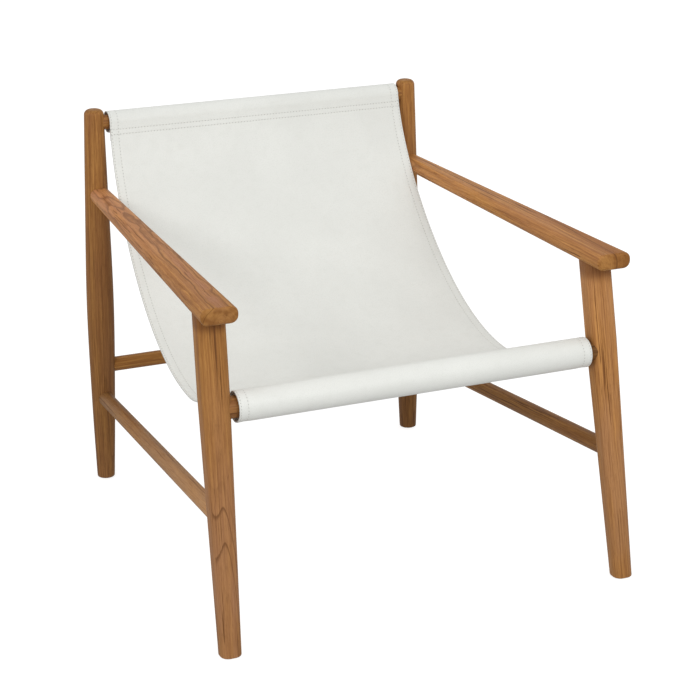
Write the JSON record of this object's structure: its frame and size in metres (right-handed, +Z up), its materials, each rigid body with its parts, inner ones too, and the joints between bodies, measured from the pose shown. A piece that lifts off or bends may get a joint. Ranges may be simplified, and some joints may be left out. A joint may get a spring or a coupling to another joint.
{
  "type": "sling lounge chair",
  "caption": "Low lounge chair with a turned timber frame, flat armrests and a pale leather sling hung between a front seat rail and a top back rail.",
  "frame": {"origin": "on the floor, under the middle of the chair's overall box", "axes": "+Z up, -Y towards the front of the chair, +X to the right as seen from the front"},
  "size_m": [0.7088, 0.7708, 0.6705],
  "materials": {
    "teak": "oiled satin",
    "dowel_beech": "raw",
    "pale_leather": "satin",
    "glide_nylon": "matte"
  },
  "bodies": {
    "root": {"front_leg_left": "teak", "front_leg_right": "teak", "back_post_left": "teak", "back_post_right": "teak", "armrest_left": "teak", "armrest_right": "teak", "side_stretcher_left": "teak", "side_stretcher_right": "teak", "back_stretcher": "teak", "front_seat_rail": "teak", "top_back_rail": "teak", "arm_post_dowel_outer_left": "dowel_beech", "arm_post_dowel_outer_right": "dowel_beech", "arm_post_dowel_inner_left": "dowel_beech", "arm_post_dowel_inner_right": "dowel_beech", "arm_leg_dowel_back_left": "dowel_beech", "arm_leg_dowel_back_right": "dowel_beech", "arm_leg_dowel_front_left": "dowel_beech", "arm_leg_dowel_front_right": "dowel_beech", "front_glide_left": "glide_nylon", "front_glide_right": "glide_nylon", "back_glide_left": "glide_nylon", "back_glide_right": "glide_nylon", "leather_sling": "pale_leather"}
  },
  "joints": []
}
